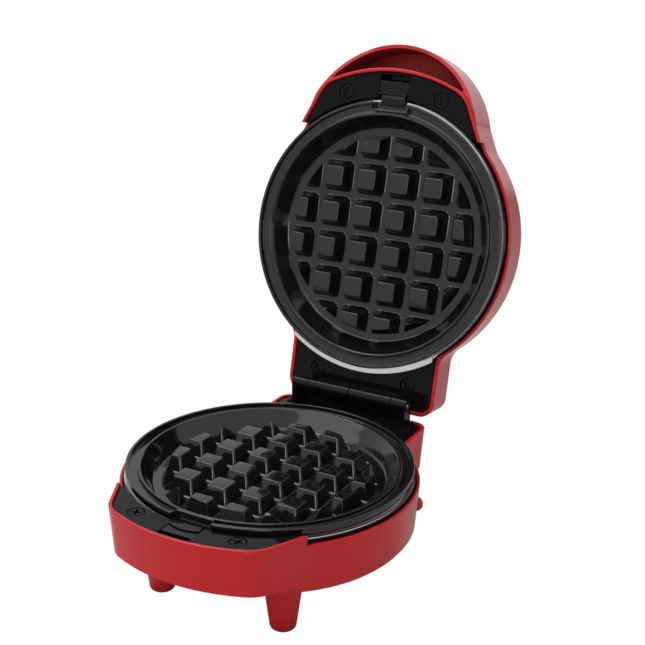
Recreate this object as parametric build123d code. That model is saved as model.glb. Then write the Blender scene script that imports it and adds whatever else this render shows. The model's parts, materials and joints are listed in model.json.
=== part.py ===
from build123d import *
import os
from math import asin, atan2, cos, degrees, hypot, pi, radians, sin, sqrt, tan

# Mini waffle maker, lid open. Millimetres, X to the right, Y to the rear, Z up, standing on Z = 0.
# Both halves are drawn closed, round the plate's axis; the lid's pieces are then mirrored in the
# parting plane and swung open round the hinge.

# Heights above the table, base half
leg_height = 21.4
belly_height = 2.6
lobe_step = 4.2
body_top_z = 48.2
lip_step = 4.8
deck_drop = 0.8
rear_deck_drop = 0.7

leg_foot_z = 0.3
base_bottom_z = leg_height
base_edge_z = base_bottom_z + belly_height
lobe_bottom_z = base_edge_z + lobe_step
lip_z = body_top_z
rim_z = lip_z - lip_step
front_deck_z = lip_z - deck_drop
rear_deck_z = rim_z - rear_deck_drop

# Waffle plate
plate_radius = 58.8
plate_stand = 1.1
rim_width = 1.3
rim_height = 4.1
rim_round = 0.4
groove_width = 1.0
groove_depth = 1.2
band_drop = 0.5
dish_margin = 5.9
dish_slope = 5.9
dish_depth = 8.6
plate_thickness = 2.0
bead_offset = 0.9
bead_depth = 0.5
plate_rim_z = lip_z + plate_stand
plate_wall_z = plate_rim_z - rim_height
band_z = plate_rim_z - band_drop
dish_edge_radius = plate_radius - dish_margin
dish_floor_radius = dish_edge_radius - dish_slope
dish_floor_z = plate_rim_z - dish_depth
bead_radius = dish_edge_radius + bead_offset

# Pegs on the plate
peg_pitch = 16.0
peg_foot = 13.2
peg_head = 8.4
peg_height = 6.5
peg_rows = 6
peg_foot_round = 1.6
peg_head_round = 0.7
peg_sink = 0.2
peg_margin_foot = 3.0
peg_margin_head = 5.4
full_peg_reach = 2.3
last_peg_reach = 3.2

# Ledge in the plate's rim for the release clip
notch_half_width = 9.0
notch_depth = 4.0
notch_drop = 3.1
notch_y = plate_radius - notch_depth
notch_ledge_z = plate_rim_z - notch_drop

# Heating element, pressed to the underside of the plate
element_radius = 37.0
element_gap = 12.0
tube_radius = 2.4
terminal_x = 7.0
terminal_y = 22.0
terminal_reach = 12.0
terminal_hole_gap = 0.5
element_z = dish_floor_z - plate_thickness - tube_radius

# Pressed pan under the plate
pan_sheet = 0.6
plate_seat = 2.4
pan_edge_reach = 1.2
pan_floor_gap = 0.5
pan_corner_radius = 4.0
flange_reach = 1.3
flange_height = 1.8
flange_half_angle = 35.0
flange_round = 1.2
pan_wall_radius = plate_radius - plate_seat
pan_edge_radius = plate_radius + pan_edge_reach
pan_flange_z = plate_wall_z
pan_floor_z = element_z - tube_radius - pan_floor_gap - pan_sheet
flange_outer_radius = pan_edge_radius + flange_reach
flange_top_z = pan_flange_z + flange_height

# Outline of both shells, seen from above
wall = 1.2
rim_gap = 0.4
lobe_reach = 11.4
front_corner_radius = 14.0
front_corner_x = 23.8
front_side_lean = 25.4
lip_wall = 1.5
lip_end_y = 45.6
junction_radius = 8.0
wall_draft = 4.2
edge_round = 0.5
body_radius = pan_edge_radius + rim_gap + wall
front_radius = body_radius + lobe_reach
front_corner_y = sqrt((front_radius - front_corner_radius) ** 2 - front_corner_x ** 2)
front_side_distance = front_corner_radius + front_corner_x * cos(radians(front_side_lean))
front_side_distance += front_corner_y * sin(radians(front_side_lean))

# Hinge
hinge_setback = 9.3
plate_gap = 6.4
open_angle = 103.0
barrel_radius = 3.0
middle_gap = 0.6
knuckle_split_x = 20.9
knuckle_end_x = 28.4
knuckle_gap = 0.3
pin_radius = 1.2
pin_fit = 0.05
pin_head = 0.3
pin_length = 19.7
pin_room = 0.5
ear_thickness = 2.4
ear_foot_width = 2.4
ear_foot_height = 1.2
ear_root = 1.0
bridge_thickness = 1.4
bridge_gap = 3.2
web_thickness = 3.2
hinge_y = body_radius + hinge_setback
hinge_z = plate_rim_z + plate_gap / 2
pin_end_x = knuckle_end_x + pin_head
pin_start_x = pin_end_x - pin_length

# Rear lobe that carries the hinge
rear_margin = 6.1
rear_side_margin = 8.6
rear_corner_radius = 7.0
rear_wall = 1.8
rear_y = hinge_y + rear_margin
rear_half_width = knuckle_end_x + rear_side_margin

# Base shell below its walls
belly_taper = 30.0
belly_step = 0.4
belly_round = 1.2
under_lobe_start_y = 38.0
under_lobe_end_y = 60.0

# Lid and its handle, drawn below the parting plane like the base
lid_depth = 26.0
lid_edge_radius = 5.5
lid_floor_thickness = 1.6
lid_knee_drop = 21.0
lid_knee_taper = 45.0
handle_reach = 10.8
handle_radius = 41.3
handle_drop = 5.4
handle_end_drop = 0.9
handle_sweep_start_y = 60.0
handle_sweep_end_y = 79.0
handle_sweep_radius = 12.0
handle_wall = 1.5
handle_floor = 6.5
handle_gap_half_width = 31.5
lid_top_z = lip_z - lid_depth
lid_floor_z = lid_top_z + lid_floor_thickness
lid_knee_z = lip_z - lid_knee_drop
handle_rim_z = lip_z - handle_drop
handle_centre_y = front_radius + handle_reach - handle_radius
handle_gap_floor_z = lid_top_z + handle_floor

# Cover between the plate and the shell
deck_thickness = 2.4
deck_gap = 0.3
deck_inner_gap = 0.4
ring_inner_gap = 0.7
ring_thickness = 4.0
skirt_thickness = 1.2
front_deck_end_y = 46.6
deck_inner_radius = pan_edge_radius + deck_inner_gap
ring_inner_radius = pan_wall_radius + ring_inner_gap
ring_top_z = pan_flange_z - pan_sheet
ring_low_z = ring_top_z - ring_thickness

# Screws and posts
screw_x = 22.7
screw_edge_distance = 12.0
screw_hinge_distance = 6.7
head_radius = 3.2
head_height = 1.3
head_round = 0.4
head_sink = 0.1
head_gap = 0.3
slot_length = 4.2
slot_width = 1.0
slot_depth = 0.85
shank_radius = 1.5
shank_length = 10.0
screw_fit = 0.05
hole_gap = 0.15
post_radius = 3.4
pilot_spare = 1.0
pan_screw_x = 18.0
pan_screw_length = 6.0
pan_hole_gap = 0.2
screw_front_y = front_radius - screw_edge_distance
screw_rear_y = hinge_y - screw_hinge_distance

# Plate release clip
window_half_width = 7.0
window_front_margin = 2.9
clip_gap = 0.3
clip_travel = 2.6
clip_spare = 0.2
clip_thickness = 2.0
clip_drop = 0.2
clip_rear_gap = 0.9
nose_reach = 2.3
nose_half_width = 5.6
nose_thickness = 1.0
nose_gap = 0.1
neck_length = 3.0
rail_half_width = 9.0
rail_thickness = 1.6
rail_front_cut = 1.6
grip_radius = 14.0
grip_reach = 3.4
grip_half_depth = 2.0
grip_side = 0.8
grip_height = 0.8
lug_setback = 3.0
lug_width = 6.0
lug_thickness = 1.6
window_front_y = front_radius - window_front_margin
clip_front_y = window_front_y - clip_travel - clip_spare
clip_rear_y = deck_inner_radius + clip_rear_gap
nose_tip_y = plate_radius - nose_reach
clip_top_z = front_deck_z - clip_drop
rail_top_z = front_deck_z - deck_thickness - clip_gap
rail_bottom_z = rail_top_z - rail_thickness

# Spring of the clip
spring_radius = 1.7
spring_wire = 0.5
spring_turns = 5
spring_drop = 1.2
spring_gap = 0.05
spring_z = rail_bottom_z - spring_drop - spring_radius

# Legs, pads and nubs
leg_x = 28.4
leg_front_y = 38.0
leg_rear_y = 64.0
leg_top_radius = 8.0
leg_foot_radius = 5.1
leg_round = 2.0
pad_radius = 3.4
pad_height = 1.2
pad_fit = 0.1
pad_round = 0.2
nub_angle = 36.0
nub_radius = 3.1
nub_reach = 2.6
nub_root = 4.0
nub_height = 4.6
nub_z = base_bottom_z + nub_height

# Cord inlet in the rear wall and its bush
inlet_height = 11.8
inlet_bore_radius = 3.2
gland_wall = 1.1
gland_flange_reach = 1.5
gland_flange = 1.6
gland_lip_reach = 0.7
gland_lip = 1.6
gland_tail = 7.0
gland_fit = 0.15
gland_wall_gap = 0.5
gland_round = 0.5
inlet_z = base_bottom_z + inlet_height
gland_radius = inlet_bore_radius + gland_wall

# Electrical parts under the pan
thermostat_y = -20.0
thermostat_radius = 6.5
thermostat_height = 4.5
thermostat_round = 0.8
fuse_x = -22.0
fuse_y = 14.0
fuse_radius = 2.0
fuse_length = 12.0
fuse_round = 0.5
block_y = 42.0
block_width = 24.0
block_depth = 9.0
block_height = 8.0
block_pole_x = 5.0
block_screw_radius = 2.0
block_screw_depth = 2.5
lead_radius = 0.9
lead_gap = 0.1
lead_entry = 2.0
lead_height = 3.0
lead_bend = 2.7
hollow_floor_z = base_bottom_z + wall

# Indicator in the lid's top
lamp_y = 40.0
lens_radius = 3.5
lens_flange_reach = 1.1
lens_flange = 1.0
lens_sink = 0.3
lens_round = 0.8
lens_fit = 0.1
lamp_radius = 2.0
lamp_length = 6.0
lamp_round = 1.2

os.makedirs("parts", exist_ok=True)


def arc(centre_x, centre_y, radius, start, middle, end):
    """Arc round a centre through three angles in degrees."""
    points = []
    for angle in (start, middle, end):
        points.append((centre_x + radius * cos(radians(angle)), centre_y + radius * sin(radians(angle))))
    return ThreePointArc(*points)


def in_front_of(depth_y):
    """Half plane in front of a line across the part."""
    size = 4 * body_radius
    return Pos(0, depth_y - size / 2) * Rectangle(size, size)


def front_lobe(inset):
    """Front lobe's outline, drawn inwards from the lip's outside by inset; its sides lean outwards."""
    corner = front_corner_radius - inset
    tip = degrees(atan2(front_corner_y, front_corner_x))
    lean = front_side_lean
    middle = (tip + lean) / 2
    left = arc(-front_corner_x, -front_corner_y, corner, 180 + lean, 180 + middle, 180 + tip)
    front = arc(0, 0, front_radius - inset, 180 + tip, 270, 360 - tip)
    right = arc(front_corner_x, -front_corner_y, corner, -tip, -middle, -lean)
    side_x = (front_side_distance - inset) * cos(radians(lean))
    side_y = (front_side_distance - inset) * sin(radians(lean))
    up = Line(right @ 1, (side_x, -side_y))
    back = Line((side_x, -side_y), (-side_x, -side_y))
    down = Line((-side_x, -side_y), left @ 0)
    return make_face([left, front, right, up, back, down])


def rear_lobe(inset):
    """Rear lobe's outline with its two rounded corners, from the plate's axis backwards."""
    length = rear_y - inset
    lobe = Pos(0, length / 2) * Rectangle(2 * (rear_half_width - inset), length)
    return fillet(lobe.vertices().sort_by(Axis.Y)[-2:], rear_corner_radius - inset)


def softened(outline, radius):
    """Rounds the hollow corners where a lobe meets the round body."""
    return offset(offset(outline, radius), -radius)


def round_and_rear():
    """Outline of the round body with the rear lobe only."""
    return softened(Circle(body_radius) + rear_lobe(0), junction_radius)


def outer_outline():
    """Whole outline of a shell."""
    return softened(Circle(body_radius) + rear_lobe(0) + front_lobe(0), junction_radius)


def inner_outline():
    """Inside of a shell's wall at its top edge."""
    return Circle(body_radius - wall) + rear_lobe(rear_wall) + front_lobe(lip_wall)


def prism(outline, top, bottom, draft=0):
    """Prism hanging from the height top down to bottom; draft narrows it downwards."""
    return extrude(Plane.XY.offset(top) * outline, bottom - top, taper=draft)


def cavity(outline, bottom, draft):
    """Hollow open at the top, with the same draft as the wall round it."""
    above = plate_rim_z + lid_depth
    return prism(outline, lip_z, bottom, draft) + prism(outline, above, lip_z)


def slack(height):
    """Clearance from the undrafted outline to a drafted wall at a height, with the fitting gap."""
    return deck_gap + (lip_z - height) * tan(radians(wall_draft))


def above_rim():
    """Space over the round body's rim, behind the end of the raised lip."""
    size = 4 * body_radius
    return Pos(0, size / 2 - lip_end_y, rim_z + size / 2) * Box(size, size, size)


def cylinder_y(radius, start_y, end_y, z):
    """Cylinder along Y."""
    return Pos(0, (start_y + end_y) / 2, z) * Rot(90, 0, 0) * Cylinder(radius, end_y - start_y)


def drill(x, y, top, radius, depth):
    """Blind hole downwards, or the shank that fills it."""
    return Pos(x, y, top - depth / 2) * Cylinder(radius, depth)


def screw_places():
    """Cover screws: where each stands and the height of the deck round it."""
    for side in (-1, 1):
        yield side * screw_x, -screw_front_y, front_deck_z
        yield side * screw_x, screw_rear_y, rear_deck_z


def posts(floor_z):
    """Posts for the cover's and the pan's screws, with their pilot holes."""
    places = [(x, y, deck_z - deck_thickness, shank_length) for x, y, deck_z in screw_places()]
    places += [(side * pan_screw_x, 0, pan_floor_z, pan_screw_length) for side in (-1, 1)]
    shape = Part()
    for x, y, top, length in places:
        post = drill(x, y, top, post_radius, top - floor_z)
        post -= drill(x, y, top, shank_radius + screw_fit, length + pilot_spare)
        shape += post
    return shape


def rounded_lip(shell):
    """Rounds the outside edge of the lip and of the rim."""
    edges = []
    for edge in shell.edges():
        middle = edge.center()
        level = abs(middle.Z - lip_z) < 0.01 or abs(middle.Z - rim_z) < 0.01
        if level and hypot(middle.X, middle.Y) > body_radius - wall and edge.length > lip_wall:
            edges.append(edge)
    return fillet(edges, edge_round)


def base_walls():
    """Drafted walls down to the base's edge, the front lobe's underside sloping up."""
    walls = prism(outer_outline(), lip_z, base_edge_z, wall_draft)
    reach = 2 * front_radius
    under_lobe = Polyline(
        (-under_lobe_start_y, base_edge_z), (-under_lobe_end_y, lobe_bottom_z), (-reach, lobe_bottom_z),
        (-reach, 0), (-under_lobe_start_y, 0), close=True
    )
    walls -= extrude(Plane.YZ * make_face(under_lobe), reach, both=True)
    drop = (lip_z - lobe_bottom_z) * tan(radians(wall_draft))
    walls += prism(offset(round_and_rear(), -drop), lobe_bottom_z, base_edge_z, wall_draft)
    return walls - above_rim()


def base_belly():
    """Shallow sloping bottom under the walls."""
    drop = (lip_z - base_edge_z) * tan(radians(wall_draft))
    outline = offset(round_and_rear(), -drop - belly_step)
    belly = prism(outline, base_edge_z, base_bottom_z, belly_taper)
    return fillet(belly.faces().sort_by(Axis.Z)[0].edges(), belly_round)


def base_hollow():
    """Inside of the base: the lobes' depth, the round body's depth and the belly's."""
    lobe_floor = lobe_bottom_z + 2 * wall
    hollow = cavity(inner_outline(), lobe_floor, wall_draft)
    drop = (lip_z - lobe_floor) * tan(radians(wall_draft))
    hollow += prism(offset(round_and_rear(), -wall - drop - belly_step), lobe_floor, base_edge_z + wall)
    belly_inset = (lip_z - base_edge_z) * tan(radians(wall_draft))
    belly_inset += belly_height * tan(radians(belly_taper))
    return hollow + prism(offset(round_and_rear(), -belly_inset - wall), lobe_floor, hollow_floor_z)


def legs():
    """Four tapered legs, each with a pocket for its pad."""
    shape = Part()
    length = hollow_floor_z - leg_foot_z
    pocket = pad_height - leg_foot_z
    for x in (-leg_x, leg_x):
        for y in (-leg_front_y, leg_rear_y):
            leg = Pos(x, y, leg_foot_z + length / 2) * Cone(leg_foot_radius, leg_top_radius, length)
            leg = fillet(leg.edges().sort_by(Axis.Z)[0], leg_round)
            shape += leg - drill(x, y, pad_height, pad_radius + pad_fit, pocket)
    return shape


def nub(side):
    """Small domed nub on the rear quarter of the wall."""
    outward = Vector(side * cos(radians(nub_angle)), sin(radians(nub_angle)), 0)
    root = Plane(origin=outward * (body_radius - nub_root) + Vector(0, 0, nub_z), z_dir=outward)
    shape = extrude(root * Circle(nub_radius), nub_root + nub_reach)
    tip = shape.edges().sort_by(Axis((0, 0, 0), tuple(outward)))[-1]
    return fillet(tip, nub_radius * 0.9)


def base_shell():
    """One moulding: walls, belly, legs, screw posts, nubs and the cord's hole."""
    hollow = base_hollow()
    shell = base_walls() + base_belly() - hollow
    shell += legs()
    shell += posts(hollow_floor_z) - hollow_below_lobe()
    for side in (-1, 1):
        shell += nub(side) - hollow
    inlet_start_y = rear_y - 2 * rear_wall - gland_wall_gap
    inlet = cylinder_y(gland_radius + gland_fit, inlet_start_y, rear_y + rear_wall, inlet_z)
    return rounded_lip(shell - inlet)


def hollow_below_lobe():
    """Space under the front lobe, which the front posts must not reach."""
    depth = front_radius - under_lobe_end_y + post_radius
    middle_y = -(front_radius + under_lobe_end_y - post_radius) / 2
    height = lobe_bottom_z + wall
    return Pos(0, middle_y, height / 2) * Box(4 * screw_x, depth, height)


def lobe_walls(bottom):
    """Everything inside the walls below the lip, and the space over it."""
    outline = outer_outline()
    return prism(outline, lip_z, bottom, wall_draft) + prism(outline, lip_z + 2 * handle_drop, lip_z)


def handle_circle(inset):
    """Outline of the handle's arc."""
    return Pos(0, -handle_centre_y) * Circle(handle_radius - inset)


def above_handle():
    """Space over the handle's rim, which sweeps up to just below the lip at both ends."""
    reach = 2 * front_radius
    top = lip_z + handle_drop
    level_z = lip_z - handle_end_drop
    profile = make_face(Polyline(
        (-lip_end_y, level_z), (-handle_sweep_start_y, level_z), (-handle_sweep_end_y, handle_rim_z),
        (-reach, handle_rim_z), (-reach, top), (-lip_end_y, top), close=True
    ))
    bends = [v for v in profile.vertices() if -handle_sweep_end_y - 1 < v.X < -handle_sweep_start_y + 1]
    space = extrude(Plane.YZ * fillet(bends, handle_sweep_radius), reach, both=True)
    return space - lobe_walls(lid_top_z)


def lid_body():
    """Outside of the lid, with the handle's arc growing out of the front lobe."""
    outline = Circle(body_radius) + rear_lobe(0) + front_lobe(0) + handle_circle(0)
    body = prism(softened(outline, junction_radius), lip_z, lid_top_z, wall_draft)
    body = fillet(body.faces().sort_by(Axis.Z)[0].edges(), lid_edge_radius)
    return body - above_rim() - above_handle()


def handle_gap():
    """Finger gap between the lobe's wall and the handle, blind at the lid's top."""
    front = Rectangle(2 * handle_gap_half_width, 2 * handle_radius)
    outline = handle_circle(handle_wall) & (Pos(0, -handle_centre_y - handle_radius) * front)
    gap = prism(outline, lip_z, handle_gap_floor_z, wall_draft)
    gap += prism(outline, lip_z + handle_drop, lip_z)
    return gap - lobe_walls(handle_gap_floor_z)


def lid_hollow():
    """Inside of the lid, its corner sloping under the rounded edge."""
    drop = (lip_z - lid_knee_z) * tan(radians(wall_draft))
    hollow = cavity(inner_outline(), lid_knee_z, wall_draft)
    return hollow + prism(offset(inner_outline(), -drop), lid_knee_z, lid_floor_z, lid_knee_taper)


def lid_shell():
    """One moulding: top, walls, handle, screw posts and the lens's hole."""
    shell = lid_body() - lid_hollow() - handle_gap()
    shell += posts(lid_floor_z)
    shell -= drill(0, -lamp_y, lid_floor_z + wall, lens_radius + lens_fit, 3 * wall + lid_edge_radius)
    return rounded_lip(shell)


def barrel(start_x, end_x, radius):
    """Cylinder along the hinge's axis."""
    length = end_x - start_x
    return Pos((start_x + end_x) / 2, hinge_y, hinge_z) * Rot(0, 90, 0) * Cylinder(radius, length)


def cover():
    """Ring, raised front deck, lower rear deck, screw seats and the clip's window."""
    ring_outer = body_radius - wall - slack(ring_low_z)
    shape = prism(Circle(ring_outer) - Circle(ring_inner_radius), ring_top_z, ring_low_z)

    deck_low = front_deck_z - deck_thickness
    deck_front = in_front_of(-front_deck_end_y)
    deck = front_lobe(lip_wall + slack(deck_low)) - Circle(deck_inner_radius)
    shape += prism(deck & deck_front, front_deck_z, deck_low)
    skirt = front_lobe(lip_wall + slack(ring_low_z)) & deck_front
    skirt &= Circle(deck_inner_radius + skirt_thickness)
    shape += prism(skirt - Circle(deck_inner_radius), front_deck_z, ring_low_z)
    shape += prism(skirt - Circle(ring_inner_radius), ring_top_z, ring_low_z)

    rear_low = rear_deck_z - deck_thickness
    rear_deck = rear_lobe(rear_wall + slack(rear_low)) - Circle(ring_inner_radius)
    shape += prism(rear_deck - in_front_of(body_radius / 2), rear_deck_z, rear_low)

    window_start_y = deck_inner_radius - ring_thickness - skirt_thickness
    window_length = window_front_y - window_start_y
    window = Pos(0, -(window_front_y + window_start_y) / 2, front_deck_z)
    shape -= window * Box(2 * window_half_width, window_length, 4 * deck_thickness)
    rail_room = Pos(0, -clip_rear_y, deck_low - ring_thickness / 2)
    rail_length = 2 * (window_front_y - clip_rear_y)
    shape -= rail_room * Box(2 * (rail_half_width + clip_gap), rail_length, ring_thickness)

    for x, y, deck_z in screw_places():
        shape -= drill(x, y, deck_z, shank_radius + screw_fit + hole_gap, 2 * ring_thickness)
        shape -= drill(x, y, deck_z, head_radius + head_gap, head_height + head_sink)
    return shape


def outer_knuckle():
    """Right-hand knuckle of the base: barrel, ear and foot on the rear deck."""
    shape = barrel(knuckle_split_x, knuckle_end_x, barrel_radius)
    ear_x = knuckle_end_x - ear_thickness / 2
    foot_z = rear_deck_z - ear_root
    ear_height = hinge_z - foot_z
    ear = Pos(ear_x, hinge_y, foot_z + ear_height / 2)
    shape += ear * Box(ear_thickness, 2 * barrel_radius, ear_height)
    foot = Pos(ear_x + ear_foot_width / 2, hinge_y, rear_deck_z + ear_foot_height / 2)
    shape += foot * Box(ear_thickness + ear_foot_width, 2 * barrel_radius, ear_foot_height)
    return shape - barrel(knuckle_split_x - 1, knuckle_end_x + 1, pin_radius + pin_fit)


def hinge_bridge():
    """Low wall behind the barrel, from ear to ear of the base."""
    rear = rear_y - rear_wall - slack(rear_deck_z - deck_thickness)
    foot_z = rear_deck_z - ear_root
    height = hinge_z - bridge_gap - foot_z
    place = Pos(0, rear - bridge_thickness / 2, foot_z + height / 2)
    return place * Box(2 * (knuckle_end_x - ear_root), bridge_thickness, height)


def inner_knuckle():
    """Right-hand knuckle of the lid: long barrel on a web from the rear deck."""
    start_x = middle_gap / 2
    end_x = knuckle_split_x - knuckle_gap
    shape = barrel(start_x, end_x, barrel_radius)
    height = hinge_z - rear_deck_z + ear_root
    web = Pos((start_x + end_x) / 2, hinge_y, hinge_z - height / 2)
    shape += web * Box(end_x - start_x, web_thickness, height)
    return shape - barrel(pin_start_x - pin_room, knuckle_end_x, pin_radius + pin_fit)


def screw(length):
    """Cross-head screw, its head's top at the origin."""
    head = fillet(drill(0, 0, 0, head_radius, head_height).edges().sort_by(Axis.Z)[-1], head_round)
    shape = head + drill(0, 0, -head_height, shank_radius, length)
    for angle in (45, 135):
        shape -= Rot(0, 0, angle) * Box(slot_length, slot_width, 2 * slot_depth)
    return shape


def pan():
    """Pressed pan: floor, wall, flange and the raised, wider rear flange."""
    r = pan_wall_radius
    t = pan_sheet
    corner = pan_corner_radius
    outline = Polyline(
        (0, pan_floor_z), (r - corner, pan_floor_z), (r, pan_floor_z + corner), (r, pan_flange_z - t),
        (pan_edge_radius, pan_flange_z - t), (pan_edge_radius, pan_flange_z), (r - t, pan_flange_z),
        (r - t, pan_floor_z + corner + t / 3), (r - corner - t / 3, pan_floor_z + t), (0, pan_floor_z + t),
        close=True
    )
    shape = revolve(Plane.XZ * make_face(outline), Axis.Z)

    side_x = 2 * body_radius * sin(radians(flange_half_angle))
    side_y = 2 * body_radius * cos(radians(flange_half_angle))
    sector = make_face(Polyline((0, 0), (-side_x, side_y), (0, 2 * side_y), (side_x, side_y), close=True))
    upright = (Circle(pan_edge_radius) - Circle(pan_edge_radius - t)) & sector
    shape += prism(upright, flange_top_z, pan_flange_z)
    brim = (Circle(flange_outer_radius) - Circle(pan_edge_radius - t)) & sector
    tips = brim.vertices().filter_by(lambda v: hypot(v.X, v.Y) > flange_outer_radius - 0.1)
    shape += prism(fillet(tips, flange_round), flange_top_z, flange_top_z - t)

    for side in (-1, 1):
        top = pan_floor_z + 2 * t
        shape -= drill(side * terminal_x, terminal_y, top, tube_radius + terminal_hole_gap, 3 * t)
        shape -= drill(side * pan_screw_x, 0, top, shank_radius + pan_hole_gap, 3 * t)
    return shape


def peg(x, y):
    """One drafted peg with softened corners, standing on the dish floor."""
    foot = Pos(x, y) * RectangleRounded(peg_foot, peg_foot, peg_foot_round)
    head = Pos(x, y) * RectangleRounded(peg_head, peg_head, peg_head_round)
    low = Plane.XY.offset(dish_floor_z - peg_sink) * foot
    high = Plane.XY.offset(dish_floor_z + peg_height) * head
    return loft([low, high])


def plate():
    """Cast plate: rim, groove, band, bead, sloping dish, floor, pegs and the clip's notch."""
    r = plate_radius
    inner = r - rim_width
    under = dish_floor_z - plate_thickness
    shoulder_z = plate_wall_z + rim_round
    outline = Polyline(
        (0, under), (dish_floor_radius, under), (dish_edge_radius + rim_width, shoulder_z),
        (pan_wall_radius + rim_round, shoulder_z), (pan_wall_radius + rim_round, plate_wall_z),
        (r, plate_wall_z), (r, plate_rim_z - rim_round), (r - rim_round, plate_rim_z), (inner, plate_rim_z),
        (inner, plate_rim_z - groove_depth), (inner - groove_width, plate_rim_z - groove_depth),
        (inner - groove_width, band_z), (bead_radius + 1.6 * bead_depth, band_z),
        (bead_radius + bead_depth, band_z - bead_depth), (bead_radius, band_z - bead_depth),
        (bead_radius - 0.6 * bead_depth, band_z), (dish_edge_radius, band_z),
        (dish_floor_radius, dish_floor_z), (0, dish_floor_z), close=True
    )
    shape = revolve(Plane.XZ * make_face(outline), Axis.Z)
    rise = peg_height + 2 * peg_sink
    lean = degrees(atan2(peg_margin_head - peg_margin_foot, peg_height))
    foot_circle = Plane.XY.offset(dish_floor_z - peg_sink) * Circle(dish_floor_radius - peg_margin_foot)
    limit = extrude(foot_circle, rise, taper=lean)
    steps = [(k - (peg_rows - 1) / 2) * peg_pitch for k in range(peg_rows)]
    for x in steps:
        for y in steps:
            reach = hypot(x, y) / peg_pitch
            if reach > last_peg_reach:
                continue
            shape += peg(x, y) & limit if reach > full_peg_reach else peg(x, y)
    notch = Pos(0, -notch_y - 2 * notch_depth, notch_ledge_z + 2 * notch_drop)
    return shape - notch * Box(2 * notch_half_width, 4 * notch_depth, 4 * notch_drop)


def clip():
    """Sliding clip: thumb pad with a curved grip, nose over the plate's ledge, rails and spring lug."""
    half = window_half_width - clip_gap
    length = clip_front_y - clip_rear_y
    shape = Pos(0, -(clip_front_y + clip_rear_y) / 2, clip_top_z - clip_thickness / 2)
    shape = shape * Box(2 * half, length, clip_thickness)
    grip = Pos(0, grip_radius - clip_rear_y - grip_reach) * Circle(grip_radius)
    grip &= Pos(0, -clip_rear_y - grip_half_depth) * Rectangle(2 * (half - grip_side), 2 * grip_half_depth)
    shape += prism(grip, clip_top_z + grip_height, clip_top_z - clip_drop)

    rail_length = clip_front_y - rail_front_cut - clip_rear_y
    rail = Pos(0, -clip_rear_y - rail_length / 2, rail_top_z - rail_thickness / 2)
    shape += rail * Box(2 * (rail_half_width - clip_gap), rail_length, rail_thickness)
    neck_height = clip_top_z - rail_bottom_z
    neck = Pos(0, -clip_rear_y - neck_length / 2, clip_top_z - neck_height / 2)
    shape += neck * Box(2 * nose_half_width, neck_length, neck_height)
    nose_length = clip_rear_y - nose_tip_y + neck_length / 2
    nose = Pos(0, -nose_tip_y - nose_length / 2, notch_ledge_z + nose_gap + nose_thickness / 2)
    shape += nose * Box(2 * nose_half_width, nose_length, nose_thickness)
    lug_height = rail_top_z - spring_z + spring_radius
    lug = Pos(0, lug_setback - clip_front_y, rail_top_z - lug_height / 2)
    return shape + lug * Box(lug_width, lug_thickness, lug_height)


def biarc(start, start_way, end, end_way):
    """Two tangent arcs between two points with a direction at each."""
    chord = end - start
    both = start_way + end_way
    turn = 2 * (1 - start_way.dot(end_way))
    along = chord.dot(both)
    reach = (sqrt(along ** 2 + turn * chord.dot(chord)) - along) / turn
    first = start + start_way * reach
    last = end - end_way * reach
    return [
        TangentArc(start, (first + last) * 0.5, tangent=start_way),
        TangentArc((first + last) * 0.5, end, tangent=last - first),
    ]


def clip_spring():
    """Coil spring between the clip's lug and the inside of the lobe's wall."""
    start_y = clip_front_y - lug_setback + lug_thickness / 2 + spring_gap + spring_wire / 2
    inside = front_radius - lip_wall - (lip_z - spring_z) * tan(radians(wall_draft))
    length = inside - spring_gap - spring_wire / 2 - start_y
    quarters = 4 * spring_turns
    points = []
    ways = []
    for k in range(quarters + 1):
        angle = k * pi / 2
        along = -start_y - length * k / quarters
        points.append(Vector(spring_radius * cos(angle), along, spring_z + spring_radius * sin(angle)))
        rise = -length / (spring_turns * 2 * pi)
        ways.append(Vector(-spring_radius * sin(angle), rise, spring_radius * cos(angle)).normalized())
    arcs = []
    for k in range(quarters):
        arcs += biarc(points[k], ways[k], points[k + 1], ways[k + 1])
    path = Wire(arcs)
    return sweep(Plane(origin=path @ 0, z_dir=path % 0) * Circle(spring_wire / 2), path=path)


def element():
    """Tubular heating element: an open ring under the plate, both ends bent down through the pan."""
    half_gap = degrees(asin(element_gap / element_radius))
    ring = Plane.XY.offset(element_z) * arc(0, 0, element_radius, 90 + half_gap, 270, 450 - half_gap)
    shape = sweep(Plane(origin=ring @ 0, z_dir=ring % 0) * Circle(tube_radius), path=ring)
    for start, side in ((ring @ 0, -1), (ring @ 1, 1)):
        corner = Vector(side * terminal_x, terminal_y, element_z)
        run = Line(start, corner)
        shape += sweep(Plane(origin=start, z_dir=run % 0) * Circle(tube_radius), path=run)
        shape += Pos(*start) * Sphere(tube_radius)
        shape += Pos(*corner) * Sphere(tube_radius)
        shape += drill(corner.X, corner.Y, element_z, tube_radius, terminal_reach)
    return shape


def lead(points, bend):
    """Insulated lead: straight runs joined by tangent arcs."""
    path = FilletPolyline(*points, radius=bend)
    return sweep(Plane(origin=path @ 0, z_dir=path % 0) * Circle(lead_radius), path=path)


def element_lead(side):
    """Lead from the terminal block to the side of an element terminal."""
    pole = Vector(side * block_pole_x, block_y - block_depth / 2, hollow_floor_z + block_height / 2)
    end_y = terminal_y + tube_radius + lead_radius + lead_gap
    end = Vector(side * terminal_x, end_y, element_z - terminal_reach + lead_height)
    bend_point = Vector(side * (terminal_x + lead_height), (pole.Y + end.Y) / 2, end.Z)
    entry = Vector(0, lead_entry, 0)
    return lead([pole + entry, pole - entry, bend_point, end], lead_bend / 3)


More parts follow.
